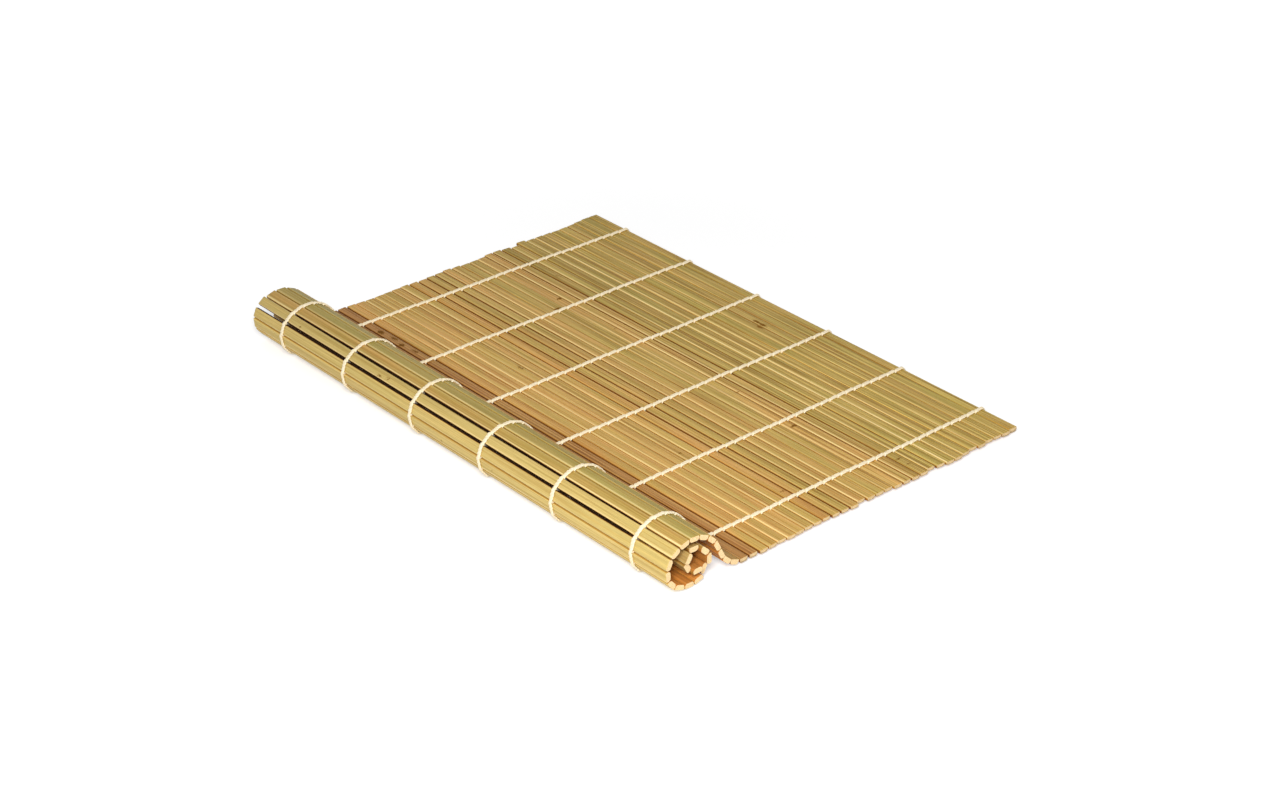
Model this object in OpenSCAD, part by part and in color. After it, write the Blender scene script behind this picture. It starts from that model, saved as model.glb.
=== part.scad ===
// Woven bamboo rolling mat, lying flat with its front end rolled under.
// X runs along the slats, Y from the roll to the back edge, Z up from the table.
// The origin is on the table, in the middle of the mat as it lies.

/* [Slats] */
// Length of a slat
slat_len = 237; // [200:1:270]
// Width of a slat
slat_w = 3.9; // [3.6:0.1:4.5]
// Thickness of a slat
slat_t = 2.1; // [1.7:0.1:2.2]
// Gap between two slats, where the strings cross
slat_gap = 0.54; // [0.5:0.02:0.8]
// Bevel along the edges of the flat top face
top_bevel = 0.35; // [0.3:0.05:0.5]
// How far the sides lean in from the middle to the top bevel
side_lean = 0.07; // [0.05:0.01:0.12]
// How much narrower the rounded back is than the slat, on each side
back_round = 0.7; // [0.6:0.05:1]
// How far the slat ends stand out of line
end_stagger = 1.3; // [0:0.1:1.5]

/* [Flat field] */
// Groups of slats in the flat field
field_groups = 8; // [7:1:9]
// Slats in one group
group_slats = 4; // [3:1:5]

/* [Strings] */
// Number of strings across the slats
strings = 6; // [4:1:7]
// Distance from a slat end to the outer string
string_margin = 17.7; // [10:0.1:30]
// Thickness of one strand over or under a slat
cord_t = 0.85; // [0.6:0.05:0.9]
// Width of a strand
cord_w = 1.4; // [1:0.1:1.8]
// Thickness of a strand where it passes down the side of a slat
side_strand = 0.1; // [0.06:0.01:0.12]
// Reach of the tied loop past the back edge
loop_reach = 1.6; // [1:0.1:2.5]
// Height of the crossing between two slats of a group
crossing_h = 1.6; // [1:0.1:2]

/* [Rolled end] */
// Slats in the rising stretch next to the field, before the one that lies in line with them
rise_slats = 3; // [3:1:3]
// Upward bend at each of them
rise_bend = 21; // [20:0.5:21]
// Slats over the crest of the roll
crest_slats = 5; // [5:1:5]
// Downward bend at each of them
crest_bend = 20; // [20:0.5:20.5]
// Slats round the front of the roll
front_slats = 4; // [4:1:4]
// Bend at each of them
front_bend = 31; // [30.5:0.5:31]
// Slats on the table under the roll
under_slats = 2; // [2:1:2]
// Bend at each of them
under_bend = 17; // [17:0.5:18]
// Slats up the back of the roll and in under the crest
back_slats = 4; // [4:1:4]
// Bend at each of them
back_bend = 41; // [41:0.5:42]
// Slats of the coil in the middle
coil_slats = 3; // [1:1:3]
// Bend at each of them
coil_bend = 62; // [61:0.5:63]

/* [Hidden] */
pitch = slat_w + slat_gap;
mid_z = slat_t / 2 + cord_t;
field_slats = field_groups * group_slats;
string_step = (slat_len - 2 * string_margin) / (strings - 1);
// turns of the slow and the quick wave that shift the slat ends, from one slat to the next, and the slow one's share
slow_turn = 8.5;
quick_turn = 137.5;
slow_share = 0.6;
// inset of a strand's corners from the edge of its slat: over the top, at the top face, and the same underneath
over_inset = 0.75;
over_shoulder = 0.2;
under_inset = 1.05;
under_shoulder = 0.53;

function repeat(n, value) = [for (i = [1:n]) value];
roll_bends = concat(
    repeat(rise_slats, rise_bend),
    [0],
    repeat(crest_slats, -crest_bend),
    repeat(front_slats, -front_bend),
    repeat(under_slats, -under_bend),
    repeat(back_slats, -back_bend),
    repeat(coil_slats, -coil_bend)
);
roll_slats = len(roll_bends);

// Heading of a rolled slat: 0 lies flat and points to -Y, positive rises
function heading(k) = k == 0 ? 0 : heading(k - 1) + roll_bends[k - 1];
// Hinge point before rolled slat k, in Y and Z, counted from the field's front hinge
function hinge(k) = k == 1
    ? [0, mid_z]
    : hinge(k - 1) + pitch * [-cos(heading(k - 1)), sin(heading(k - 1))];
function roll_centre(k) = (hinge(k) + hinge(k + 1)) / 2;

// Section of a slat: flat top, beveled edges, rounded back; X is across the slat, Y is up
slat_half = [
    [slat_w / 2 - top_bevel, slat_t / 2],
    [slat_w / 2 - side_lean, slat_t / 2 - top_bevel],
    [slat_w / 2, 0],
    [slat_w / 2 - back_round * 2 / 7, -slat_t / 4],
    [slat_w / 2 - back_round, -slat_t / 2]
];
// Outline of a stitch round that section: a strand over it, a strand under it, crossing at the sides
stitch_half = [
    [slat_w / 2 - over_inset, slat_t / 2 + cord_t],
    [slat_w / 2 - over_shoulder, slat_t / 2],
    [slat_w / 2 - side_lean + side_strand, slat_t / 2 - top_bevel],
    [slat_w / 2 + side_strand, 0],
    [slat_w / 2 - back_round * 2 / 7 + side_strand, -slat_t / 4],
    [slat_w / 2 - under_shoulder, -slat_t / 2],
    [slat_w / 2 - under_inset, -slat_t / 2 - cord_t]
];
function both_sides(half) = concat(half, [for (i = [len(half) - 1:-1:0]) [-half[i][0], half[i][1]]]);
slat_section = both_sides(slat_half);
stitch_section = both_sides(stitch_half);

// Reach of the mat in Y, from the front of the roll to the tied loops, and the shift that centres it
function reach_y(k) = [for (p = stitch_section)
    roll_centre(k)[0] + p[0] * cos(heading(k)) + p[1] * sin(heading(k))];
front_y = min([for (k = [1:roll_slats]) min(reach_y(k))]);
back_y = field_slats * pitch - slat_gap / 2 + loop_reach;
centre_y = (front_y + back_y) / 2;

// Slats are counted from the back edge
function end_shift(slat) = end_stagger
    * ((1 - slow_share) * sin(quick_turn * slat) - slow_share * cos(slow_turn * slat));
function field_y(slat) = (field_slats - slat + 0.5) * pitch - centre_y;
function string_x(n) = -slat_len / 2 + string_margin + (n - 1) * string_step;

function two(k) = k < 10 ? str("0", k) : str(k);

// Hinge points and bends, for the joints' places and ranges
echo(field_hinges = [for (g = [1:field_groups - 1]) field_y(g * group_slats + 0.5)]);
echo(roll_hinges = [for (k = [1:roll_slats]) hinge(k) - [centre_y, 0]]);
echo(roll_bends = roll_bends);
echo(mid_z = mid_z);

// Draws a section along X, with the section's Y turned up
module along_x(length) {
    rotate([90, 0, 90])
        linear_extrude(length, center = true)
            children();
}

// Moves what it draws from the origin to a rolled slat's place
module at_roll(k) {
    centre = roll_centre(k);
    translate([0, centre[0] - centre_y, centre[1]])
        rotate([-heading(k), 0, 0])
            children();
}

// One slat, at the origin
module slat(shift) {
    translate([shift, 0, 0])
        along_x(slat_len)
            polygon(slat_section);
}

// One stitch of each string round a slat, at the origin
module stitches() {
    for (n = [1:strings])
        translate([string_x(n), 0, 0])
            along_x(cord_w)
                difference() {
                    polygon(stitch_section);
                    polygon(slat_section);
                }
}

// Slats of one group of the flat field
module field_slats_node(g) {
    color("burlywood")
        for (i = [1:group_slats]) {
            number = (g - 1) * group_slats + i;
            translate([0, field_y(number), mid_z])
                slat(end_shift(number));
        }
}

// The strings' run through one group of the flat field
module field_strings_node(g) {
    first = (g - 1) * group_slats + 1;
    color("ivory")
        for (n = [1:strings])
            translate([string_x(n), 0, mid_z])
                along_x(cord_w)
                    difference() {
                        string_run(first, g == 1);
                        for (i = [0:group_slats - 1])
                            translate([field_y(first + i), 0])
                                polygon(slat_section);
                    }
}

// Outline of one string through a group, with its tied loop at the back edge
module string_run(first, tied) {
    for (i = [0:group_slats - 1])
        translate([field_y(first + i), 0])
            polygon(stitch_section);
    for (i = [0:group_slats - 2])
        translate([field_y(first + i + 0.5), 0])
            square([slat_gap + side_strand, crossing_h], center = true);
    if (tied)
        translate([field_y(first) + slat_w / 2 + loop_reach / 2, 0])
            tied_loop();
}

// Side view of the loop that ends a string
module tied_loop() {
    bevel = loop_reach / 4;
    x = loop_reach / 2;
    y = crossing_h / 2;
    polygon([
        [-x, -y], [x - bevel, -y], [x, bevel - y],
        [x, y - bevel], [x - bevel, y], [-x, y]
    ]);
}

// One slat of the rolled end
module roll_slat_node(k) {
    color("wheat")
        at_roll(k)
            slat(end_shift(field_slats + k));
}

// The stitches round that slat
module roll_stitches_node(k) {
    color("ivory")
        at_roll(k)
            stitches();
}

for (g = [1:field_groups])
    field_slats_node(g);
for (g = [1:field_groups])
    field_strings_node(g);
for (k = [1:roll_slats])
    roll_slat_node(k);
for (k = [1:roll_slats])
    roll_stitches_node(k);
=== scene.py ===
import math
import random

import bpy
import numpy as np
from mathutils import Matrix, Vector


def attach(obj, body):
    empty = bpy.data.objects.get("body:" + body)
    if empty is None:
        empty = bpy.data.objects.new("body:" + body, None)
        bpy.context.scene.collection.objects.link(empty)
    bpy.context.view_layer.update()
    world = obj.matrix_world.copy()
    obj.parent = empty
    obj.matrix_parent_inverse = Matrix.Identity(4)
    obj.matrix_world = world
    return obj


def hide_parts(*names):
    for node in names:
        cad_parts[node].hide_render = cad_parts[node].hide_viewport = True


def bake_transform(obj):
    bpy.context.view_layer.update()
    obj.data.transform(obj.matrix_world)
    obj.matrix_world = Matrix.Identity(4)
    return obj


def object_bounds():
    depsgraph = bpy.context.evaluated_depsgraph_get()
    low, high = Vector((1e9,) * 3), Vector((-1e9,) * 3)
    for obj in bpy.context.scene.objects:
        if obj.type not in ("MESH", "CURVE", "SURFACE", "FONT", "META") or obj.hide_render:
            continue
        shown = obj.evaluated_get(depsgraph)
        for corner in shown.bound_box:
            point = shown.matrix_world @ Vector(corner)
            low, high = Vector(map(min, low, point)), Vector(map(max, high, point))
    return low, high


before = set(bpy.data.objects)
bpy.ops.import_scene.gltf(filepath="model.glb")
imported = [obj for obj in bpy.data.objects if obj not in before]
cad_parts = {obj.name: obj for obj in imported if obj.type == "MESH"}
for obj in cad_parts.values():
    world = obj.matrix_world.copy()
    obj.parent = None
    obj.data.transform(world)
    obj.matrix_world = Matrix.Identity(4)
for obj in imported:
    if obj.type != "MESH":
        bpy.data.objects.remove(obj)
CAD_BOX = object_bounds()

MM = 0.001

# Sizes of the mat in mm, the same as in part.scad
SLAT_LEN = 237.0
HALF_LEN = SLAT_LEN / 2
PITCH = 4.44
HALF_PITCH = PITCH / 2
MID_Z = 1.9
FIELD_SLATS = 32
GROUP = 4
BENDS = [21] * 3 + [0] + [-20] * 5 + [-31] * 4 + [-17] * 2 + [-41] * 4 + [-62] * 3
ROLL_SLATS = len(BENDS)
SLATS = FIELD_SLATS + ROLL_SLATS
STRINGS = 6
STRING_STEP = 40.32
STRING_X = [(n - (STRINGS - 1) / 2) * STRING_STEP for n in range(STRINGS)]
# The back edge of the field: the hinge of its first group, and one group further
BACK_EDGE_Y = 69.8232 + GROUP * PITCH
# How far each string runs beside its even place
STRING_OFF = [0.6, -0.15, 0.1, 0.0, -0.6, 0.4]
# The rolled slat that lies in line with the one before it and shares its body.
# The strings are dimmed from there on, as painted shade.
IN_LINE = 4


def body_of(slat):
    """The body that a slat rides on. Slats are counted from the back edge."""
    if slat <= FIELD_SLATS:
        return f"field_{(slat - 1) // GROUP + 1}"
    rolled = slat - FIELD_SLATS
    return f"roll_{rolled - 1 if rolled == IN_LINE else rolled:02d}"


def make_places():
    """Centre (y, z) and heading in radians of each slat."""
    found = {}
    for i in range(1, FIELD_SLATS + 1):
        found[i] = (BACK_EDGE_Y - (i - 0.5) * PITCH, MID_Z, 0.0)
    y, z, heading = BACK_EDGE_Y - FIELD_SLATS * PITCH, MID_Z, 0.0
    for k, bend in enumerate(BENDS):
        heading += math.radians(bend)
        dy, dz = -math.cos(heading), math.sin(heading)
        found[FIELD_SLATS + 1 + k] = (y + dy * HALF_PITCH, z + dz * HALF_PITCH, heading)
        y, z = y + dy * PITCH, z + dz * PITCH
    return found


PLACES = make_places()


def to_world(slat, x, v, w):
    """Points in mm, from along the slat, across it (towards the back edge) and up from its middle."""
    y, z, h = PLACES[slat]
    x, v, w = (np.asarray(a, float) for a in (x, v, w))
    return np.stack([x, y + v * math.cos(h) + w * math.sin(h), z - v * math.sin(h) + w * math.cos(h)], -1)


def string_x(n, slat):
    """A string isn't quite straight: its place along the slats, at the middle of one."""
    place = STRING_X[n] + STRING_OFF[n] + 0.18 * math.sin(slat * 0.37 + n * 2.1)
    return place + 0.10 * math.sin(slat * 1.13 + n * 0.7)


# Materials

class Nodes:
    """A short way to write a node tree: each call adds a node, sets inputs and returns its output."""

    def __init__(self, name):
        self.material = bpy.data.materials.new(name)
        self.material.use_nodes = True
        self.tree = self.material.node_tree
        self.shader = self.tree.nodes["Principled BSDF"]

    def put(self, target, value):
        if isinstance(value, bpy.types.NodeSocket):
            self.tree.links.new(value, target)
        elif isinstance(value, (tuple, list)) and len(value) == 3 and target.type == "RGBA":
            target.default_value = (*value, 1)
        else:
            target.default_value = value

    def add(self, kind, out=0, props=None, **inputs):
        node = self.tree.nodes.new(kind)
        for key, value in (props or {}).items():
            setattr(node, key, value)
        for key, value in inputs.items():
            numbered = key[0] == "i" and key[1:].isdigit()
            self.put(node.inputs[int(key[1:]) if numbered else key.replace("_", " ")], value)
        return node.outputs[out]

    def attribute(self, name, out="Fac"):
        return self.add("ShaderNodeAttribute", out, {"attribute_name": name})

    def math(self, op, a, b=0.0, c=0.0):
        return self.add("ShaderNodeMath", props={"operation": op}, i0=a, i1=b, i2=c)

    def scaled(self, vector, factors):
        return self.add("ShaderNodeVectorMath", props={"operation": "MULTIPLY"}, i0=vector, i1=factors)

    def noise(self, vector, detail=2.0, rough=0.5):
        return self.add("ShaderNodeTexNoise", Vector=vector, Scale=1.0, Detail=detail, Roughness=rough)

    def span(self, value, low, high, to_low=0.0, to_high=1.0):
        """A smooth step from to_low to to_high, while the value goes from low to high."""
        return self.add("ShaderNodeMapRange", props={"clamp": True, "interpolation_type": "SMOOTHSTEP"},
                        i0=value, i1=low, i2=high, i3=to_low, i4=to_high)

    def mix(self, fac, a, b, blend="MIX"):
        node = self.tree.nodes.new("ShaderNodeMix")
        node.data_type, node.blend_type = "RGBA", blend
        self.put(node.inputs[0], fac)
        self.put(node.inputs[6], a)
        self.put(node.inputs[7], b)
        return node.outputs[2]

    def tint(self, fac, colour, factors):
        """The colour times the factors, by the share fac."""
        return self.mix(fac, colour, factors, "MULTIPLY")

    def dimmed(self, colour, factor):
        """The colour times one number."""
        return self.tint(1.0, colour, self.add("ShaderNodeCombineColor", i0=factor, i1=factor, i2=factor))

    def ramp(self, value, stops):
        node = self.tree.nodes.new("ShaderNodeValToRGB")
        self.put(node.inputs[0], value)
        for i, (place, colour) in enumerate(stops):
            stop = node.color_ramp.elements[i] if i < 2 else node.color_ramp.elements.new(place)
            stop.position, stop.color = place, (*colour, 1)
        return node.outputs[0]

    def bump(self, height, strength, distance):
        return self.add("ShaderNodeBump", Strength=strength, Distance=distance, Height=height)

    def shade(self, **inputs):
        for key, value in inputs.items():
            self.put(self.shader.inputs[key.replace("_", " ")], value)
        return self.material


def srgb(r, g, b):
    """A colour as it is seen on screen, 0 to 255, in Blender's linear numbers."""
    return tuple((c / 255 / 12.92) if c <= 10 else ((c / 255 + 0.055) / 1.055) ** 2.4 for c in (r, g, b))


def bamboo():
    n = Nodes("bamboo_slats")
    place = n.attribute("place", "Vector")      # mm along, across and up, shifted by the slat's own seed
    tone = n.attribute("tone")                  # 0 olive, 0.5 straw, 1 orange brown
    pale = n.attribute("pale")                  # 1 on the paler slats round the roll
    calm = n.attribute("calm")                  # how much weaker the streaks are
    light = n.attribute("light")                # how bright the slat is, about 1; it carries painted shade in the coil, at the foot of the roll and low on the field's cut ends, and painted light round the roll
    side = n.attribute("side")                  # painted shade: 0 on top, 1 down in a seam, more in an open one
    under = n.attribute("under")                # 1 on the back, which is warmer
    rim = n.attribute("rim")                    # painted highlight: 1 along a bright upper edge
    cut = n.attribute("cut")                    # 1 on a cut end
    knot = n.attribute("knot")                  # 1 on the dark mark of a bamboo joint
    # colour, in large patches, and the backs
    patch = n.noise(n.scaled(place, (0.03, 0.25, 0.25)), 2.0)
    hue = n.math("ADD", tone, n.span(patch, 0.3, 0.7, -0.15, 0.15))
    base = n.ramp(hue, [(0.0, srgb(178, 160, 76)), (1.0, srgb(196, 142, 76)),
                        (0.4, srgb(195, 165, 87)), (0.72, srgb(207, 162, 90))])
    base = n.mix(pale, base, n.mix(0.35, srgb(216, 193, 122), base))
    base = n.mix(under, base, srgb(206, 138, 66))
    # the grain, from broad to fine; calm slats have less of the two middle sizes
    broad = n.noise(n.scaled(place, (0.007, 0.5, 0.5)), 2.0, 0.5)
    base = n.tint(n.span(broad, 0.36, 0.50, 0.45, 0.0), base, (0.84, 0.79, 0.66))
    base = n.tint(n.span(broad, 0.52, 0.66, 0.0, 0.4), base, (1.16, 1.12, 1.04))
    band = n.noise(n.scaled(place, (0.013, 1.7, 1.7)), 1.0, 0.4)
    base = n.tint(n.math("SUBTRACT", n.span(band, 0.38, 0.46, 1.0, 0.0), calm), base, (0.75, 0.64, 0.44))
    base = n.tint(n.math("SUBTRACT", n.span(band, 0.54, 0.62, 0.0, 0.9), calm), base, (1.20, 1.20, 1.24))
    streak = n.noise(n.scaled(place, (0.02, 3.3, 3.3)), 2.0, 0.5)
    base = n.tint(n.math("SUBTRACT", n.span(streak, 0.36, 0.46, 1.0, 0.0), calm), base, (0.70, 0.56, 0.34))
    base = n.tint(n.math("SUBTRACT", n.span(streak, 0.54, 0.63, 0.0, 1.0), calm), base, (1.27, 1.26, 1.30))
    fine = n.noise(n.scaled(place, (0.22, 15.0, 15.0)), 2.0, 0.6)
    base = n.tint(n.span(fine, 0.35, 0.62, 0.30, 0.0), base, (0.66, 0.55, 0.40))
    fleck = n.noise(n.scaled(place, (0.45, 8.0, 8.0)), 1.0)
    base = n.mix(n.span(fleck, 0.70, 0.78, 0.0, 0.4), base, srgb(150, 104, 52))
    # painted highlights on the upper edges, painted shade in the seams, marks and cut ends
    base = n.mix(n.math("MULTIPLY", rim, n.span(streak, 0.35, 0.6, 0.75, 1.0)), base, srgb(255, 230, 164))
    # painted shade down in the seams: warmer, then dark brown, and near black in an open seam
    base = n.tint(n.span(side, 0.04, 0.4, 0.0, 0.8), base, (0.96, 0.76, 0.40))
    base = n.mix(n.span(side, 0.1, 1.0, 0.0, 0.92), base, srgb(116, 60, 6))
    base = n.mix(n.span(side, 1.0, 1.5, 0.0, 0.9), base, srgb(22, 12, 6))
    spot = n.noise(n.scaled(place, (1.3, 2.6, 2.6)), 3.0, 0.7)
    knot = n.span(n.math("ADD", knot, n.span(spot, 0.3, 0.7, -0.35, 0.25)), 0.22, 0.58, 0.0, 0.9)
    base = n.mix(knot, base, srgb(124, 80, 20))
    grain = n.noise(n.scaled(place, (0.4, 6.0, 6.0)), 3.0, 0.7)
    base = n.mix(cut, base, n.ramp(grain, [(0.34, srgb(222, 164, 100)), (0.54, srgb(250, 224, 172))]))
    # the brightness carries painted shade and painted light
    base = n.dimmed(base, light)
    height = n.math("ADD", n.math("MULTIPLY", streak, 0.7), n.math("MULTIPLY", fine, 0.3))
    rough = n.math("ADD", n.span(streak, 0.3, 0.7, 0.58, 0.46), n.math("MULTIPLY", cut, 0.3))
    gloss = n.span(knot, 0.0, 0.6, 0.5, 0.05)
    return n.shade(Base_Color=base, Roughness=rough, Normal=n.bump(height, 0.5, 0.00012), IOR=1.34,
                   Specular_IOR_Level=gloss)


def cotton():
    n = Nodes("cotton_string")
    place = n.attribute("place", "Vector")      # mm in the mat's frame
    twist = n.attribute("twist")                # turns of the two plies so far
    groove = n.attribute("groove")              # 1 down between the plies, where painted shade darkens it
    light = n.attribute("light")                # how bright the string is, at most 1, less where painted shade dims it round the roll and in open seams
    base = n.ramp(n.noise(n.scaled(place, (0.8, 0.8, 0.8)), 3.0),
                  [(0.3, srgb(255, 236, 196)), (0.7, srgb(255, 246, 218))])
    # painted shade down between the plies
    base = n.mix(n.span(groove, 0.55, 1.0, 0.0, 0.45), base, srgb(222, 190, 142))
    around = n.add("ShaderNodeCombineXYZ",
                   i0=n.math("MULTIPLY", twist, 24.0), i1=n.math("MULTIPLY", groove, 2.0))
    fibre = n.noise(around, 2.0)
    fuzz = n.noise(n.scaled(place, (7.0, 7.0, 7.0)), 3.0, 0.7)
    base = n.mix(n.span(fuzz, 0.3, 0.7, 0.08, 0.0), base, srgb(222, 190, 146))
    base = n.dimmed(base, light)
    height = n.math("ADD", fibre, n.math("MULTIPLY", fuzz, 0.8))
    return n.shade(Base_Color=base, Roughness=n.span(fuzz, 0.2, 0.8, 0.95, 0.8), IOR=1.4,
                   Sheen_Weight=0.8, Sheen_Tint=(1.0, 0.82, 0.55), Normal=n.bump(height, 0.6, 0.00015))


BAMBOO = bamboo()
COTTON = cotton()


def make_object(name, points, faces, attributes, material, sharp):
    """A mesh object from points in mm, smooth up to the angle sharp in degrees."""
    mesh = bpy.data.meshes.new(name)
    mesh.from_pydata((np.asarray(points) * MM).tolist(), [], faces)
    for key, values in attributes.items():
        values = np.asarray(values, np.float32)
        if values.ndim == 2:
            mesh.attributes.new(key, "FLOAT_VECTOR", "POINT").data.foreach_set("vector", values.ravel())
        else:
            mesh.attributes.new(key, "FLOAT", "POINT").data.foreach_set("value", values)
    mesh.materials.append(material)
    mesh.shade_smooth()
    mesh.set_sharp_from_angle(angle=math.radians(sharp))
    mesh.validate()
    obj = bpy.data.objects.new(name, mesh)
    bpy.context.scene.collection.objects.link(obj)
    return obj


def tube_faces(rows, around):
    """The faces of a tube between its rings of points."""
    faces = []
    for i in range(rows - 1):
        for j in range(around):
            k = (j + 1) % around
            faces.append((i * around + j, i * around + k, (i + 1) * around + k, (i + 1) * around + j))
    return faces


# Slats

# Half sections from the middle of the top to the middle of the back, in mm: across, up, painted highlight, side
# The painted highlight goes on the bright upper edge, and the side is how deep in the seam a point lies, which
# sets the painted shade there
UPPER = [(0, 1.08, 0, 0), (0.75, 1.08, 0, 0), (1.30, 1.07, 0.1, 0), (1.62, 1.05, 0.8, 0),
         (1.88, 1.00, 1.0, 0.12), (2.04, 0.86, 0.7, 0.45), (2.11, 0.6, 0, 0.9), (2.17, 0.1, 0, 1.0)]
LOWER = [(2.13, -0.14, 0, 1.0), (1.95, -0.40, 0, 0.8), (1.60, -0.78, 0, 0.4), (1.25, -0.97, 0, 0.1),
         (0.6, -1.04, 0, 0), (0, -1.05, 0, 0)]
# How far that half section reaches across, and how far down
SECTION_REACH, BACK_DEPTH = 2.17, 1.05
# On the back side of a slat the painted highlight is weaker
BACK_HIGHLIGHT = 0.15
# Where the slats end at the left and at the right: slat, place in mm
LEFT_ENDS = [(1, -119.7), (2, -119.6), (3, -119.1), (4, -118.5), (6, -118.1), (8, -118.4), (9, -118.5),
             (10, -119.7), (11, -117.4), (12, -118.3), (13, -118.8), (14, -118.8), (15, -117.9), (16, -117.6),
             (17, -117.5), (19, -118.5), (20, -117.9), (22, -117.3), (24, -117.6), (28, -116.8), (31, -117.5),
             (36, -117.4), (40, -118.7), (41, -119.4), (43, -119.7), (46, -119.6), (54, -118.4)]
RIGHT_ENDS = [(1, 118.1), (2, 118.6), (4, 118.0), (5, 118.7), (6, 118.2), (8, 119.4), (9, 119.5), (10, 118.7),
              (11, 118.2), (12, 119.1), (15, 119.1), (16, 118.4), (18, 118.5), (19, 117.8), (20, 119.0),
              (23, 118.4), (27, 119.0), (28, 118.8), (30, 119.3), (31, 118.8), (36, 118.6), (54, 118.5)]
# How far a slat end may stand out of that line, and how far inside the roll
END_SCATTER, COIL_SCATTER = 0.12, (-1.8, 1.1)
# How far inside the box of the solids the slats stay
END_MARGIN = 0.2
# The last stretch of a slat, which moves with its end as a whole, and the rounding of its edge, in mm
END_STRETCH, END_CORNER = 2.6, 0.2
# How much thinner the flat slats are at their ends, where the back is pared away, and over what length
END_THINNED, THINNED_OVER = 0.6, 4.0
# In mm, how far the sides and the top of a slat wander, how far its ends slant, and how far a dark mark rises
SIDE_WANDER, TOP_WANDER, END_SLANT, KNOT_RISE = 0.035, 0.03, 0.06, 0.06
# How far a slat may lean, in degrees, and how many times as far inside the roll
LEAN, COIL_LEAN = (-1.2, 0.8), 5
# How far its top and back may then lie from its middle, also inside the roll, and how much less at its ends
FACE_LIMIT, COIL_FACE_LIMIT, END_ROUNDED = 1.08, 1.25, 0.13
# How far from its end a slat begins to slant and to round off
END_EASE = 0.3
# How steeply the move of an end dies out along the slat
END_POWER = 30
# How uneven the cut ends are, from sunk in to standing out
CUT_UNEVEN = (-0.05, 0.03)
# How bright the cut ends of the field are at the bottom and at the top; darker at the bottom as painted shade
FIELD_CUT = (0.5, 0.85)
# Slats with a colour of their own: slat, tone, brightness. The low brightness of slats 31 to 33 is painted
# shade at the foot of the roll
OWN_TONE = {13: (0.44, 0.97), 14: (0.56, 1.0), 31: (0.95, 0.735), 32: (1.0, 0.71), 33: (0.65, 0.77),
            38: (0.05, 0.86), 39: (0.06, 0.86), 40: (0.48, 0.88), 41: (0.32, 0.875), 42: (0.3, 0.96)}
# The slats inside the roll are seen with their backs, are warmer in tone and are darkened as painted shade
# inside the coil
COIL_FIRST, COIL_TONE, COIL_SHADE = 48, 0.75, 0.76
# Dark marks of bamboo joints: slat, along, across, half length along and across in mm, strength
KNOTS = [(4, -3.6, -0.9, 2.2, 0.7, 1.2), (4, -0.3, -0.9, 2.2, 0.8, 1.2), (5, 0.2, 1.7, 2.4, 1.0, 0.9),
         (15, -68.8, 1.0, 0.8, 1.5, 1.0), (15, -35.0, 1.0, 0.6, 1.4, 0.5), (16, -62.6, -1.0, 0.8, 1.8, 0.9),
         (14, 33.2, -1.6, 0.8, 0.7, 0.6), (15, 65.2, 1.0, 0.8, 1.9, 1.1), (12, 106.6, -0.2, 0.6, 1.6, 0.7),
         (12, 111.2, -0.2, 0.5, 1.6, 0.55), (12, -84.5, 0.0, 1.6, 1.2, 0.45), (26, -33.8, 0.8, 2.4, 1.0, 0.6),
         (31, -91.0, -0.6, 1.8, 1.2, 1.1), (31, -83.5, 0.3, 2.2, 0.8, 0.9), (31, -77.5, -0.8, 1.6, 1.0, 1.0),
         (31, -70.0, 0.1, 2.6, 0.8, 0.8), (25, 53.0, -0.6, 0.9, 0.6, 0.6), (41, -42.0, -1.0, 1.5, 0.5, 0.8),
         (41, -37.5, -0.4, 1.2, 0.6, 0.7), (41, -92.0, -0.9, 0.7, 0.7, 0.6), (43, -2.0, -0.8, 0.9, 1.0, 0.4),
         (43, 27.0, -0.2, 0.9, 1.0, 0.4), (23, 96.0, 0.5, 0.7, 1.5, 0.6), (8, 24.0, -0.5, 0.6, 1.3, 0.35),
         (51, 30.0, 0.0, 0.8, 1.8, 0.9)]
# Seams that stand open: seam after this slat, then places along it and how far each side draws back there
OPEN_SEAMS = {40: [(-103, -0.15), (-96, 0.05), (-78, 0.08), (-50, 0.22), (0, 0.20), (40, 0.16), (80, -0.02),
                   (118, -0.07)],
              41: [(-118, 0.50), (-102, 0.44), (-98, 0.32), (-60, 0.25), (0, 0.14), (40, 0.12), (80, 0.18),
                   (97, 0.12), (104, -0.05), (118, -0.07)]}
# The one that isn't closed lower down, so that light comes through, and the place left of which this is so
SEEN_THROUGH = (41, -101.0)
# How clearly the seams of the field show, from 0 to 10, from the back edge to the roll
SHOWN_SEAMS = [1, 2, 3, 4, 2, 3, 2, 2, 2, 5, 4, 7, 8, 6, 0, 2,
               2, 4, 6, 8, 9, 10, 6, 4, 3, 2, 1, 1, 3, 10, 9, 4]
# How far each side of a slat draws back in every seam, and how much more at a string, where the strands pass
SEAM_ROOM, STRING_ROOM = 0.03, 0.26
# How dark the painted shade in the seams is: the open ones, those of the roll, and the least and most in the
# field
OPEN_SEAM_SHADE, ROLL_SEAM_SHADE, FIELD_SEAM_SHADE = 1.8, 0.45, (0.5, 1.1)


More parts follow.
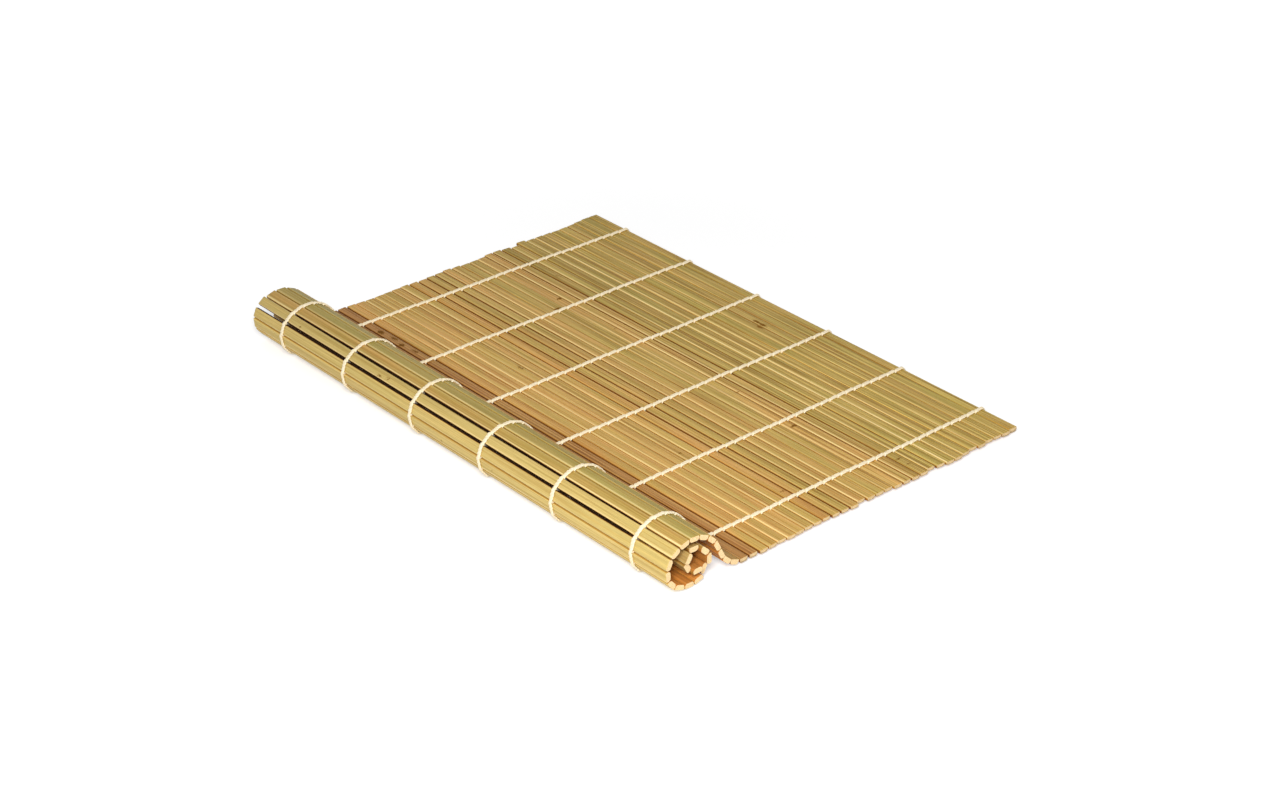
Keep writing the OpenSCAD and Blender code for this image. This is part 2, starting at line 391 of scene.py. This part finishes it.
def stations(slat):
    """Places along a slat, closer together at its ends, at the strings and at its dark marks."""
    xs = [-HALF_LEN + d for d in (0, 0.06, 0.18, 0.38, 0.7, 1.2, 2.5)]
    xs += [-x for x in xs]
    strings = [string_x(n, slat) for n in range(STRINGS)]
    for s in strings:
        xs += [s + d for d in (-1.5, -0.9, -0.65, -0.4, 0, 0.4, 0.65, 0.9, 1.5)]
    for mark in KNOTS:
        if mark[0] == slat:
            xs += list(mark[1] + np.linspace(-1.6, 1.6, 11) * mark[3])
    for x in np.linspace(-HALF_LEN + 4, HALF_LEN - 4, 59):
        if min(abs(x - s) for s in xs) > 0.8:
            xs.append(float(x))
    return np.array(sorted(xs))


def wander(rng, x, size, waves=3):
    """A slow random curve along a slat, within about +-size."""
    total = np.zeros_like(x)
    for k in range(1, waves + 1):
        total += rng.uniform(-1, 1) * np.sin(2 * math.pi * (k * x / SLAT_LEN * 0.8 + rng.random())) / k
    return total * size / 1.5


def bend_at(seam):
    """The bend at the seam after this slat, in degrees; positive rises."""
    return BENDS[seam - FIELD_SLATS] if FIELD_SLATS <= seam < SLATS else 0


def least_opening(seam):
    """The room that a seam keeps, so that the slats pass each other where it bends."""
    if (seam < FIELD_SLATS and seam % GROUP == 0) or bend_at(seam) > 0 or bend_at(seam) < -60:
        return 0.0
    return -0.04 if bend_at(seam) < -40 else -0.07


def seam_opening(seam, x):
    """How far each side of a seam draws back from its neighbour, in mm."""
    rng = random.Random(5000 + seam)
    if seam in OPEN_SEAMS:
        shown = np.interp(x, [p[0] for p in OPEN_SEAMS[seam]], [p[1] for p in OPEN_SEAMS[seam]])
    elif seam > FIELD_SLATS:
        shown = np.abs(wander(rng, x, 0.04)) - 0.09
    else:
        shown = SHOWN_SEAMS[seam - 1] * 0.034 - 0.10 + wander(rng, x, 0.07) if seam else 0.0 * x
    return np.maximum(shown, least_opening(seam))


def closed_below(seam, x, w):
    """The share of that opening which is left at a height of the section."""
    if seam not in OPEN_SEAMS:
        return 1.0
    through = np.clip((SEEN_THROUGH[1] - x) / 2.0, 0, 1) * (seam == SEEN_THROUGH[0])
    return through + (1 - through) * np.interp(w, [0, 0.6], [0, 1])


def painted_seam_shade(seam, x):
    """How dark the painted shade on the sides of the slats is in a seam."""
    if seam in OPEN_SEAMS:
        left = OPEN_SEAM_SHADE if seam == SEEN_THROUGH[0] else 0.5
        return np.interp(x, [-104, -99, 96, 104], [left, OPEN_SEAM_SHADE, OPEN_SEAM_SHADE, 0.5])
    if seam > FIELD_SLATS:
        return ROLL_SEAM_SHADE
    return np.interp(SHOWN_SEAMS[max(seam, 1) - 1], [0, 10], FIELD_SEAM_SHADE)


def end_place(slat, rng, ends):
    """Where a slat ends: on the line of ends, within its scatter and inside the box of the solids."""
    low, high = COIL_SCATTER if slat >= COIL_FIRST else (-END_SCATTER, END_SCATTER)
    at = np.interp(slat, [e[0] for e in ends], [e[1] for e in ends])
    at += rng.uniform(low, high) * (1 if at > 0 else -1)
    return float(np.clip(at, CAD_BOX[0][0] / MM + END_MARGIN, CAD_BOX[1][0] / MM - END_MARGIN))


def slat_look(slat, rng):
    """Tone, brightness, paleness, calm and painted highlight of a slat; the brightness holds painted shade
    inside the coil and at the foot of the roll.
    """
    drift = np.interp(slat, [1, 10, 16, 24, 30, 36, 54], [0.24, 0.30, 0.43, 0.56, 0.6, 0.3, 0.4])
    drift += rng.uniform(-0.12, 0.12) * (1 if slat < 43 else 2)
    tone, light = OWN_TONE.get(slat, (drift, 1 + rng.uniform(-0.04, 0.04)))
    light *= np.interp(slat, [10, 20, 30, 32], [1.0, 1.03, 1.04, 1.0])
    # painted shade inside the coil
    if slat >= COIL_FIRST:
        tone, light = COIL_TONE, light * COIL_SHADE
    pale = float(np.interp(slat, [36, 39, 40, 41, 54], [0.0, 0.2, 0.1, 1.0, 1.0]))
    calm = float(np.interp(slat, [15, 18, 30, 31, 33, 34, 38], [0.0, 0.22, 0.3, 0.0, 0.0, 0.2, 0.5]))
    rim = 1.0 if slat in OPEN_SEAMS else min(1.15 * rng.random() ** 1.7, 1.0) * (1.0 if slat < 19 else 0.85)
    return tone, light, pale, calm, rim


def slat_section():
    """Points round the section: across, up, painted highlight, side. The side towards the back edge comes
    first.
    """
    back = [(a, u, rim * BACK_HIGHLIGHT, side) for a, u, rim, side in UPPER + LOWER]
    front = [(-a, u, rim, side) for a, u, rim, side in UPPER + LOWER]
    return back + front[::-1][1:-1]


def stretched(x, from_end, left, right):
    """The stations of a slat that ends at left and right: only the stretches near its ends move."""
    moved = np.where(x < 0,
                     x + (left + HALF_LEN) * (x / -HALF_LEN) ** END_POWER,
                     x + (right - HALF_LEN) * (x / HALF_LEN) ** END_POWER)
    return np.where(from_end < END_STRETCH, np.where(x < 0, left + from_end, right - from_end), moved)


def marks_at(slat, x, v, w):
    """How dark the marks of the bamboo joints are along one line of a slat's top."""
    mark = np.zeros_like(x)
    for at, kx, kv, hx, hv, strength in KNOTS:
        if at == slat and w > 0:
            mark = np.maximum(mark, strength * np.exp(-((x - kx) / hx) ** 2 - ((v - kv) / hv) ** 2))
    return mark


def end_caps(slat, flat, count, rng):
    """Both cut ends of a slat, slightly uneven: their points, how bright they are, and their faces."""
    caps, light, faces = [], [], []
    shades = FIELD_CUT if slat <= FIELD_SLATS else (1, 1)
    for end, first in ((-1, 0), (1, len(flat) - count)):
        ring = flat[first:first + count]
        inner = ring * [1, 0.6, 0.6]
        inner[:, 0] += [end * rng.uniform(*CUT_UNEVEN) for _ in range(count)]
        base = len(flat) + len(caps)
        caps += [*ring, *inner, [ring[0, 0], 0, 0]]
        # painted shade: the field's cut ends darken towards the bottom
        light += list(np.interp(ring[:, 2], [-0.6, 0.6], shades)) * 2 + [1]
        for j in range(count):
            k = (j + 1) % count
            quad = (base + j, base + count + j, base + count + k, base + k)
            tri = (base + count + j, base + 2 * count, base + count + k)
            faces += [quad[::end], tri[::end]]
    return caps, light, faces


def build_slat(slat):
    rng = random.Random(1000 + slat)
    coiled = slat >= COIL_FIRST
    x = stations(slat)
    left, right = end_place(slat, rng, LEFT_ENDS), end_place(slat, rng, RIGHT_ENDS)
    from_end = np.minimum(x + HALF_LEN, HALF_LEN - x)
    place_x = stretched(x, from_end, left, right)
    tone, light, pale, calm, highlight_share = slat_look(slat, rng)
    seed = rng.random() * 100
    # the two sides are 1 towards the back edge and -1 towards the front
    wave = {1: wander(rng, x, SIDE_WANDER), -1: wander(rng, x, SIDE_WANDER)}
    opening = {1: seam_opening(slat - 1, x), -1: seam_opening(slat, x)}
    dark = {1: painted_seam_shade(slat - 1, x), -1: painted_seam_shade(slat, x)}
    lift = wander(rng, x, TOP_WANDER)
    tilt = math.tan(math.radians(rng.uniform(*LEAN) * (COIL_LEAN if coiled else 1)))
    slant = {1: rng.uniform(-END_SLANT, END_SLANT), -1: rng.uniform(-END_SLANT, END_SLANT)}
    pinch = np.zeros_like(x)
    for n in range(STRINGS):
        pinch = np.maximum(pinch, STRING_ROOM * np.clip(1.8 - np.abs(x - string_x(n, slat)) / 0.5, 0, 1))
    # painted light: round the roll the slats are made lighter towards the right
    lightness = light * (1 + np.interp(slat, [37, 39, 41, 42], [0.02, 0.08, 0.08, 0.02]) * x / HALF_LEN)
    bite = np.maximum(END_CORNER - from_end, 0)
    round_off = END_CORNER - np.sqrt(np.maximum(END_CORNER ** 2 - bite ** 2, 0))
    near_end = np.clip(1 - from_end / END_EASE, 0, 1)
    thinned = END_THINNED * np.interp(slat, [1, 3, 29, 33], [0, 1, 1, 0])
    thinned = thinned * np.clip(1 - from_end / THINNED_OVER, 0, 1) ** 2
    face_limit = (COIL_FACE_LIMIT if coiled else FACE_LIMIT) - END_ROUNDED * near_end
    points, painted_highlights, sides, unders, knots = [], [], [], [], []
    for v, w, rim, side in slat_section():
        sign = 1 if v > 0 else -1
        reach = abs(v) / SECTION_REACH
        deep = np.clip((1.3 - w) / 1.3, 0, 1) if w > 0 else 1.0
        open_here = opening[sign] * closed_below(slat - 1 if sign > 0 else slat, x, w)
        draw_back = SEAM_ROOM + np.abs(wave[sign]) + pinch * deep + open_here + round_off * 0.8
        across = sign * (abs(v) - reach ** 3 * draw_back)
        up = w + tilt * v + (lift if w > -0.5 else np.zeros_like(x))
        if abs(w) > 0.9:
            up = np.sign(w) * np.minimum(np.abs(up), face_limit)
        if w < 0:
            up = up + thinned * (-w / BACK_DEPTH)
        ends = np.where(x > 0, slant[1], slant[-1]) * v * near_end
        points.append(np.stack([place_x + ends, across, up], -1))
        # painted highlight along the upper edge, weaker where the side wanders in
        painted_highlights.append(rim * highlight_share * (1 - 0.6 * np.abs(wave[sign]) / SIDE_WANDER))
        # painted shade, by how deep in the seam a point lies
        sides.append(side * dark[sign] + 0 * x)
        unders.append(np.full_like(x, float(np.clip(0.3 - w, 0, 1))))
        knots.append(marks_at(slat, x, v, w))
    count = len(points)
    grid = np.stack(points, 1)
    knot = np.stack(knots, 1)
    grid[:, :, 2] += KNOT_RISE * np.minimum(knot, 1)
    flat = grid.reshape(-1, 3)
    caps, cap_light, cap_faces = end_caps(slat, flat, count, rng)
    total = np.vstack([flat, np.array(caps)])
    none = np.zeros(len(caps))
    attributes = {
        "place": total + [seed * 31, seed * 7, seed * 3],
        "rim": np.concatenate([np.stack(painted_highlights, 1).ravel(), none]),
        "side": np.concatenate([np.stack(sides, 1).ravel(), none]),
        "under": np.concatenate([np.stack(unders, 1).ravel(), none]),
        "cut": np.concatenate([np.zeros(len(flat)), none + 1]),
        "knot": np.concatenate([knot.ravel(), none]),
        "tone": np.full(len(total), tone),
        "pale": np.full(len(total), pale),
        "calm": np.full(len(total), calm),
        "light": np.concatenate([np.repeat(lightness, count), cap_light]),
    }
    world = to_world(slat, total[:, 0], total[:, 1], total[:, 2])
    faces = tube_faces(len(x), count) + cap_faces
    obj = make_object(f"slat_{slat:02d}", world, faces, attributes, BAMBOO, sharp=50)
    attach(obj, body_of(slat))
    if slat <= FIELD_SLATS:
        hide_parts(f"field_slats_{(slat - 1) // GROUP + 1}")
    else:
        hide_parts(f"roll_slat_{slat - FIELD_SLATS:02d}")


for number in range(1, SLATS + 1):
    build_slat(number)

# Strings

# How far the two strands of a string stand apart where they cross in a seam
SIDE_STEP = 0.2
# Points round a strand
AROUND = 12
# Half path of a strand from the middle of a slat into a seam: across, up, shares of the side step and the width
OVER = [(0.0, 1.47, 0.0, 1.0), (0.9, 1.47, 0.35, 1.0), (1.6, 1.45, 0.65, 0.95), (2.05, 1.36, 0.85, 0.8),
        (2.32, 1.08, 1.0, 0.5), (2.40, 0.5, 1.0, 0.1)]
UNDER = [(0.0, -1.47, 0.0, 1.0), (0.6, -1.47, 0.3, 1.0), (1.1, -1.38, 0.62, 0.9), (1.55, -1.12, 0.88, 0.7),
         (1.92, -0.72, 1.0, 0.4), (2.15, -0.35, 1.0, 0.1)]
# Where a string turns round the back edge: across and up
BACK_TURN = [(2.35, 1.05), (2.85, 0.55), (3.05, 0.0), (2.85, -0.6), (2.3, -1.05)]
# Half width and half thickness of a strand: in a seam, and what it gains in the middle of a slat
SEAM_WIDTH, WIDTH_GAIN = 0.52, 0.36
SEAM_THICK, THICK_GAIN = 0.37, 0.03
# How bright the strings are round the roll, and down in its open seams: both are painted shade
ROLL_STRING_SHADE, OPEN_STRING_SHADE = 0.93, 0.2
# Turns of the two plies on each mm, and the length of a strand's pieces in mm
TWIST, STRAND_STEP = 0.36, 0.24
# How much thinner a strand is between its plies, and how much its thickness varies, as shares
PLY_DEPTH, UNEVEN = 0.24, 0.05
# Where the strands of a string end inside the coil: beside its middle, across the last slat and up
INNER_SIDE, INNER_ACROSS, INNER_UP = 0.3, -2.5, 0.1


def smooth(points, step):
    """A Catmull-Rom curve through the points, in even steps."""
    p = np.vstack([2 * points[0] - points[1], points, 2 * points[-1] - points[-2]])
    out = []
    for i in range(1, len(p) - 2):
        t = np.linspace(0, 1, 12, endpoint=False)[:, None]
        a, b, c, d = p[i - 1], p[i], p[i + 1], p[i + 2]
        curve = 2 * b + (c - a) * t + (2 * a - 5 * b + 4 * c - d) * t ** 2 + (3 * b - a - 3 * c + d) * t ** 3
        out.append(0.5 * curve)
    out = np.vstack([*out, points[-1:]])
    length = np.concatenate([[0], np.cumsum(np.linalg.norm(np.diff(out, axis=0), axis=1))])
    at = np.linspace(0, length[-1], max(int(round(length[-1] / step)), 4) + 1)
    return np.stack([np.interp(at, length, out[:, k]) for k in range(out.shape[1])], -1)


def strand(points, rng):
    """A two-ply strand along points (x, y, z, width share): its vertices, faces, twist and groove."""
    path = smooth(np.asarray(points, float), STRAND_STEP)
    centre, share = path[:, :3], path[:, 3]
    tangent = np.gradient(centre, axis=0)
    tangent /= np.linalg.norm(tangent, axis=1)[:, None]
    wide = np.array([1.0, 0, 0]) - tangent * tangent[:, :1]
    wide /= np.linalg.norm(wide, axis=1)[:, None]
    thick = np.cross(tangent, wide)
    length = np.concatenate([[0], np.cumsum(np.linalg.norm(np.diff(centre, axis=0), axis=1))])
    turns = length / length[-1] * round(length[-1] * TWIST * 2) / 2
    phi = np.linspace(0, 2 * math.pi, AROUND, endpoint=False)
    lobe = np.cos(phi[None, :] - 2 * math.pi * turns[:, None]) ** 2
    size = (1 - PLY_DEPTH) + PLY_DEPTH * np.sqrt(lobe)
    fat = 1 + UNEVEN * np.sin(length * 1.7 + rng.random() * 6)
    half_width = (SEAM_WIDTH + WIDTH_GAIN * share) * fat
    half_thick = (SEAM_THICK + THICK_GAIN * share) * fat
    ring = (centre[:, None] + wide[:, None] * (half_width[:, None] * size * np.cos(phi))[..., None]
            + thick[:, None] * (half_thick[:, None] * size * np.sin(phi))[..., None])
    rows = len(centre)
    faces = tube_faces(rows, AROUND)
    faces.append(tuple(range(AROUND))[::-1])
    faces.append(tuple(range((rows - 1) * AROUND, rows * AROUND)))
    return ring.reshape(-1, 3), faces, np.repeat(turns, AROUND), (1 - np.sqrt(lobe)).ravel()


def half_path(slat, side, offset, over):
    """Points from the middle of a slat towards its seam on side +1 (back) or -1 (front)."""
    # over a bent seam a strand reaches as far as the seam stands open, or less where it closes
    spread = math.tan(math.radians(-bend_at(slat if side < 0 else slat - 1) / 2))
    rows = []
    for v, w, part, width in (OVER if over else UNDER):
        rows.append([*to_world(slat, offset * part, side * (v + spread * w * part ** 2), w), width])
    return rows


def crossing(seam, down):
    """The strand that goes down through a seam, over one slat and under the next, or the one that comes up."""
    offset = SIDE_STEP if down else -SIDE_STEP
    middle = [*to_world(seam, offset, -HALF_PITCH, 0.0), 0.0]
    return half_path(seam, -1, offset, down) + [middle] + half_path(seam + 1, 1, offset, not down)[::-1]


def back_loop():
    """Where both halves of a string meet round the back edge: over the first slat, out, and back under it."""
    over = [row[:3] + [0.8] for row in half_path(1, 1, -SIDE_STEP * 0.5, True)[:4]]
    under = [row[:3] + [0.6] for row in half_path(1, 1, SIDE_STEP * 0.5, False)[:4]]
    loop = [[*to_world(1, -0.12, v, w), 0.9] for v, w in BACK_TURN]
    return over + loop + under[::-1][1:]


def inner_end(over):
    """The cut end of a strand at the last slat of the coil."""
    side = 1 if over else -1
    rows = half_path(SLATS, -1, INNER_SIDE * side, over)[:4]
    return rows + [[*to_world(SLATS, 0.0, INNER_ACROSS, INNER_UP * side), 0.5]]


def shifted(rows, start, end):
    """The rows moved along X, from the place start at the first to end at the last."""
    for i, row in enumerate(rows):
        row[0] += start + (end - start) * i / (len(rows) - 1)
    return rows


def seam_strands(seam):
    """Both strands of all strings through a seam, from the middle of one slat to the middle of the next."""
    parts = []
    for n in range(STRINGS):
        rng = random.Random(seam * 17 + n)
        for down in (True, False):
            rows = shifted(crossing(seam, down), string_x(n, seam), string_x(n, seam + 1))
            parts.append(strand(rows, rng))
    return parts


def make_strings(name, parts, light=1.0):
    """One object of all these strands. Its light is a number or one for each point."""
    points, faces, turns, grooves = [], [], [], []
    count = 0
    for p, f, t, g in parts:
        faces += [tuple(i + count for i in face) for face in f]
        points.append(p)
        turns.append(t)
        grooves.append(g)
        count += len(p)
    points = np.vstack(points)
    attributes = {"place": points, "twist": np.concatenate(turns), "groove": np.concatenate(grooves),
                  "light": np.full(count, light)}
    obj = make_object(name, points, faces, attributes, COTTON, sharp=70)
    return obj


def field_strings(group):
    """The strings through the slats of one group of the flat field, which is one body."""
    first = (group - 1) * GROUP + 1
    parts = []
    for seam in range(first, first + GROUP - 1):
        parts += seam_strands(seam)
    if group == 1:
        for n in range(STRINGS):
            parts.append(strand(shifted(back_loop(), string_x(n, 1), string_x(n, 1)), random.Random(n)))
    obj = make_strings(f"strings_field_{group}", parts)
    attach(obj, f"field_{group}")
    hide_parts(f"field_strings_{group}")


def height_in_seam(seam, points):
    """How high points lie over the middle of a seam, in mm."""
    heading = PLACES[seam][2] + math.radians(bend_at(seam) / 2)
    return (points - to_world(seam, 0, -HALF_PITCH, 0)) @ [0, math.sin(heading), math.cos(heading)]


def hinge_strings(seam):
    """The strings through a seam between two bodies, which turn over from one to the other."""
    near, far = body_of(seam), body_of(seam + 1)
    rolled = seam - FIELD_SLATS + 1
    name = f"strings_hinge_{seam // GROUP}" if rolled < 1 else f"strings_roll_{rolled:02d}"
    parts = seam_strands(seam)
    # painted shade: the strings round the roll are dimmed
    light = ROLL_STRING_SHADE if rolled >= IN_LINE else 1.0
    if seam in OPEN_SEAMS:
        # painted shade: down in an open seam the strings are darkened as much as the sides of the slats
        height = height_in_seam(seam, np.vstack([p[0] for p in parts]))
        light = light * np.interp(height, [0.5, 1.1], [OPEN_STRING_SHADE, 1])
    obj = make_strings(name, parts, light)
    if near == far:
        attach(obj, near)
    else:
        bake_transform(obj)
    if rolled >= 1:
        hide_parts(f"roll_stitches_{rolled:02d}")


def inner_ends():
    """The cut ends of the strings in the middle of the coil."""
    ends = []
    for n in range(STRINGS):
        for over in (True, False):
            rows = shifted(inner_end(over), string_x(n, SLATS), string_x(n, SLATS))
            ends.append(strand(rows, random.Random(900 + n)))
    obj = make_strings("strings_inner_ends", ends)
    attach(obj, body_of(SLATS))
    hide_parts(f"roll_stitches_{ROLL_SLATS:02d}")


for number in range(1, FIELD_SLATS // GROUP + 1):
    field_strings(number)
for number in range(GROUP, SLATS):
    if number >= FIELD_SLATS or number % GROUP == 0:
        hinge_strings(number)
inner_ends()

# Floor, light and camera

# Half the width of the floor and its height, in m: a hair under the mat
FLOOR_HALF, FLOOR_Z = 6.0, -0.00005
# Strength of the world, for light on the mat and as the camera sees it
WORLD_LIGHT, WORLD_SEEN = 0.35, 1.0
# Width of the image in pixels, and of the camera's sensor in mm
IMAGE_WIDTH, SENSOR_WIDTH = 1271, 36.0


def seen_directly(tree):
    """1 for what the camera sees, also through gloss or glass, and 0 for light on the object."""
    path = tree.nodes.new("ShaderNodeLightPath")
    seen = path.outputs["Is Camera Ray"]
    for name in ("Is Glossy Ray", "Is Transmission Ray"):
        add = tree.nodes.new("ShaderNodeMath")
        add.operation, add.use_clamp = "ADD", True
        tree.links.new(seen, add.inputs[0])
        tree.links.new(path.outputs[name], add.inputs[1])
        seen = add.outputs[0]
    return seen


def make_floor():
    """A pale floor that is white to the camera and keeps the shadow. Its glow grows away from the mat."""
    n = Nodes("floor_paper")
    n.shade(Base_Color=(0.78, 0.78, 0.78), Roughness=0.9, Specular_IOR_Level=0.0)
    tree = n.tree
    position = n.add("ShaderNodeNewGeometry", "Position")
    away = n.add("ShaderNodeVectorMath", "Value", {"operation": "LENGTH"}, i0=position)
    glow = tree.nodes.new("ShaderNodeEmission")
    strength = n.math("MULTIPLY", seen_directly(tree), n.span(away, 0.12, 0.5, 0.46, 1.0))
    tree.links.new(strength, glow.inputs["Strength"])
    total = tree.nodes.new("ShaderNodeAddShader")
    tree.links.new(n.shader.outputs[0], total.inputs[0])
    tree.links.new(glow.outputs[0], total.inputs[1])
    tree.links.new(total.outputs[0], tree.nodes["Material Output"].inputs["Surface"])
    mesh = bpy.data.meshes.new("floor")
    corners = [(x * FLOOR_HALF, y * FLOOR_HALF, FLOOR_Z) for x, y in ((-1, -1), (1, -1), (1, 1), (-1, 1))]
    mesh.from_pydata(corners, [], [(0, 1, 2, 3)])
    mesh.materials.append(n.material)
    floor = bpy.data.objects.new("floor", mesh)
    bpy.context.scene.collection.objects.link(floor)


def make_world():
    """Even light from all sides, and white behind the floor."""
    world = bpy.data.worlds.new("studio")
    bpy.context.scene.world = world
    world.use_nodes = True
    tree = world.node_tree
    strength = tree.nodes.new("ShaderNodeMapRange")
    tree.links.new(seen_directly(tree), strength.inputs[0])
    strength.inputs[3].default_value, strength.inputs[4].default_value = WORLD_LIGHT, WORLD_SEEN
    background = tree.nodes["Background"]
    background.inputs["Color"].default_value = (1, 1, 1, 1)
    tree.links.new(strength.outputs[0], background.inputs["Strength"])


def direction(azimuth, elevation):
    """Towards a place round the mat: 0 is its front, 90 its right end."""
    a, e = math.radians(azimuth), math.radians(elevation)
    return Vector((math.sin(a) * math.cos(e), -math.cos(a) * math.cos(e), math.sin(e)))


def area_light(name, azimuth, elevation, distance, size, power):
    """A round lamp at this distance from the mat's middle, turned towards it."""
    back = direction(azimuth, elevation)
    data = bpy.data.lights.new(name, "AREA")
    data.shape, data.size, data.energy = "DISK", size, power
    lamp = bpy.data.objects.new(name, data)
    lamp.location = back * distance
    lamp.rotation_mode = "QUATERNION"
    lamp.rotation_quaternion = (-back).to_track_quat("-Z", "Y")
    bpy.context.scene.collection.objects.link(lamp)


def make_camera(azimuth, elevation, roll, focal_pixels, target, distance):
    """A camera that looks at target, in mm, from distance in m, turned by roll in degrees."""
    forward = -direction(azimuth, elevation)
    level = Vector((math.cos(math.radians(azimuth)), math.sin(math.radians(azimuth)), 0))
    raised = level.cross(forward)
    turn = math.radians(roll)
    right = level * math.cos(turn) + raised * math.sin(turn)
    upward = raised * math.cos(turn) - level * math.sin(turn)
    data = bpy.data.cameras.new("camera")
    data.sensor_width, data.sensor_fit = SENSOR_WIDTH, "HORIZONTAL"
    data.lens = focal_pixels / IMAGE_WIDTH * SENSOR_WIDTH
    data.clip_start, data.clip_end = 0.01, 50
    camera = bpy.data.objects.new("camera", data)
    facing = Matrix((right, upward, -forward)).transposed().to_4x4()
    camera.matrix_world = Matrix.Translation(Vector(target) * MM - forward * distance) @ facing
    bpy.context.scene.collection.objects.link(camera)
    bpy.context.scene.camera = camera


make_floor()
make_world()
area_light("key", azimuth=45, elevation=35, distance=0.85, size=0.26, power=6.2)
make_camera(azimuth=47.90, elevation=29.05, roll=1.16, focal_pixels=2709.5,
            target=(13.15, -7.89, 2.95), distance=1.013)
bpy.context.scene.view_settings.view_transform = "Standard"

bpy.context.view_layer.update()
